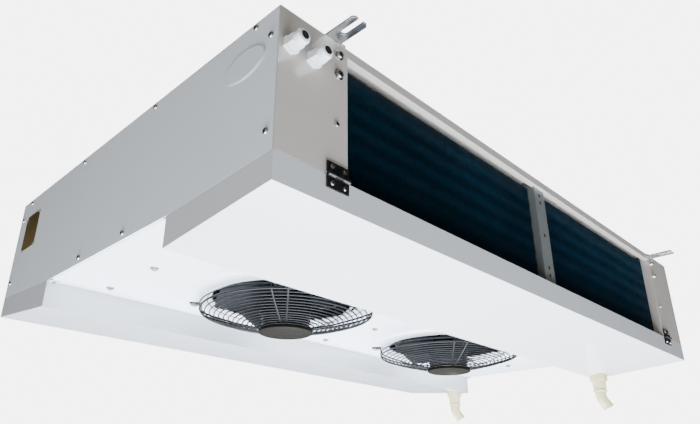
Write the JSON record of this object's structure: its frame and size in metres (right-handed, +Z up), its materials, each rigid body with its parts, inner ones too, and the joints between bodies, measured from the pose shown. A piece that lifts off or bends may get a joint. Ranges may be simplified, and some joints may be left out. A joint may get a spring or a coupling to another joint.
{
  "type": "walk-in unit cooler",
  "caption": "Ceiling-hung dual-discharge unit cooler with coils on both long sides, fans in the underside and drain pans that swing down",
  "frame": {"origin": "Centre of the four hanger tongues' slot pattern, on the tongues' top faces", "axes": "+X along the casing toward the end with the pipe stubs and drains, +Y across from the front coil to the rear coil, +Z up"},
  "size_m": [1.445, 1.008, 0.3812],
  "materials": {
    "casing_shell": "gloss white powder coat",
    "centre_divider": "gloss white powder coat",
    "fan_deck": "gloss white powder coat",
    "front_coil_support": "grey coated sheet",
    "front_drain_nut": "ivory moulded plastic",
    "front_drain_pan": "gloss white powder coat",
    "front_drain_spout": "ivory moulded plastic",
    "front_left_fins": "blue-green epoxy-coated fin stock",
    "front_left_hanger": "stainless sheet",
    "front_left_tube_sheet": "mill-finish sheet",
    "front_lower_leaves": "black hinge leaf",
    "front_return_bends": "copper tube, lightly tarnished",
    "front_right_fins": "blue-green epoxy-coated fin stock",
    "front_right_hanger": "stainless sheet",
    "front_right_tube_sheet": "mill-finish sheet",
    "front_upper_leaves": "black hinge leaf",
    "left_bulkhead": "gloss white powder coat",
    "left_end_panel": "gloss white powder coat",
    "left_fan_guard": "gloss black coated wire",
    "left_fan_lead": "light grey cable sheath",
    "left_fan_motor": "black coated housing",
    "left_fan_rotor": "black coated steel blades",
    "liquid_distributor": "copper tube, lightly tarnished",
    "power_gland_body": "white nylon",
    "power_gland_cap": "white nylon",
    "rear_coil_support": "grey coated sheet",
    "rear_drain_nut": "ivory moulded plastic",
    "rear_drain_pan": "gloss white powder coat",
    "rear_drain_spout": "ivory moulded plastic",
    "rear_left_fins": "blue-green epoxy-coated fin stock",
    "rear_left_hanger": "stainless sheet",
    "rear_left_tube_sheet": "mill-finish sheet",
    "rear_lower_leaves": "black hinge leaf",
    "rear_return_bends": "copper tube, lightly tarnished",
    "rear_right_fins": "blue-green epoxy-coated fin stock",
    "rear_right_hanger": "stainless sheet",
    "rear_right_tube_sheet": "mill-finish sheet",
    "rear_upper_leaves": "black hinge leaf",
    "right_bulkhead": "gloss white powder coat",
    "right_end_panel": "gloss white powder coat",
    "right_fan_guard": "gloss black coated wire",
    "right_fan_lead": "light grey cable sheath",
    "right_fan_motor": "black coated housing",
    "right_fan_rotor": "black coated steel blades",
    "sensor_gland_body": "white nylon",
    "sensor_gland_cap": "white nylon",
    "suction_manifold": "copper tube, lightly tarnished",
    "terminal_block": "off-white thermoplastic"
  },
  "bodies": {
    "casing": {"casing_shell": "casing_shell", "centre_divider": "centre_divider", "fan_deck": "fan_deck", "front_coil_support": "front_coil_support", "front_left_fins": "front_left_fins", "front_left_hanger": "front_left_hanger", "front_left_tube_sheet": "front_left_tube_sheet", "front_return_bends": "front_return_bends", "front_right_fins": "front_right_fins", "front_right_hanger": "front_right_hanger", "front_right_tube_sheet": "front_right_tube_sheet", "front_upper_leaves": "front_upper_leaves", "left_bulkhead": "left_bulkhead", "left_end_panel": "left_end_panel", "left_fan_guard": "left_fan_guard", "left_fan_lead": "left_fan_lead", "left_fan_motor": "left_fan_motor", "liquid_distributor": "liquid_distributor", "power_gland_body": "power_gland_body", "power_gland_cap": "power_gland_cap", "rear_coil_support": "rear_coil_support", "rear_left_fins": "rear_left_fins", "rear_left_hanger": "rear_left_hanger", "rear_left_tube_sheet": "rear_left_tube_sheet", "rear_return_bends": "rear_return_bends", "rear_right_fins": "rear_right_fins", "rear_right_hanger": "rear_right_hanger", "rear_right_tube_sheet": "rear_right_tube_sheet", "rear_upper_leaves": "rear_upper_leaves", "right_bulkhead": "right_bulkhead", "right_end_panel": "right_end_panel", "right_fan_guard": "right_fan_guard", "right_fan_lead": "right_fan_lead", "right_fan_motor": "right_fan_motor", "sensor_gland_body": "sensor_gland_body", "sensor_gland_cap": "sensor_gland_cap", "suction_manifold": "suction_manifold", "terminal_block": "terminal_block"},
    "front_pan": {"front_drain_pan": "front_drain_pan", "front_drain_nut": "front_drain_nut", "front_drain_spout": "front_drain_spout", "front_lower_leaves": "front_lower_leaves"},
    "rear_pan": {"rear_drain_pan": "rear_drain_pan", "rear_drain_nut": "rear_drain_nut", "rear_drain_spout": "rear_drain_spout", "rear_lower_leaves": "rear_lower_leaves"},
    "left_rotor": {"left_fan_rotor": "left_fan_rotor"},
    "right_rotor": {"right_fan_rotor": "right_fan_rotor"}
  },
  "joints": [
    {"name": "front_pan_hinge", "type": "hinge", "parent": "casing", "child": "front_pan", "pos_m": [0, -0.4535, -0.223], "axis": [-1, 0, 0], "range_deg": [0, 90]},
    {"name": "rear_pan_hinge", "type": "hinge", "parent": "casing", "child": "rear_pan", "pos_m": [0, 0.4535, -0.223], "axis": [1, 0, 0], "range_deg": [0, 90]},
    {"name": "left_fan_spin", "type": "hinge", "parent": "casing", "child": "left_rotor", "pos_m": [-0.28815, 0, -0.25], "axis": [0, 0, 1], "continuous": true},
    {"name": "right_fan_spin", "type": "hinge", "parent": "casing", "child": "right_rotor", "pos_m": [0.28815, 0, -0.25], "axis": [0, 0, 1], "continuous": true}
  ]
}
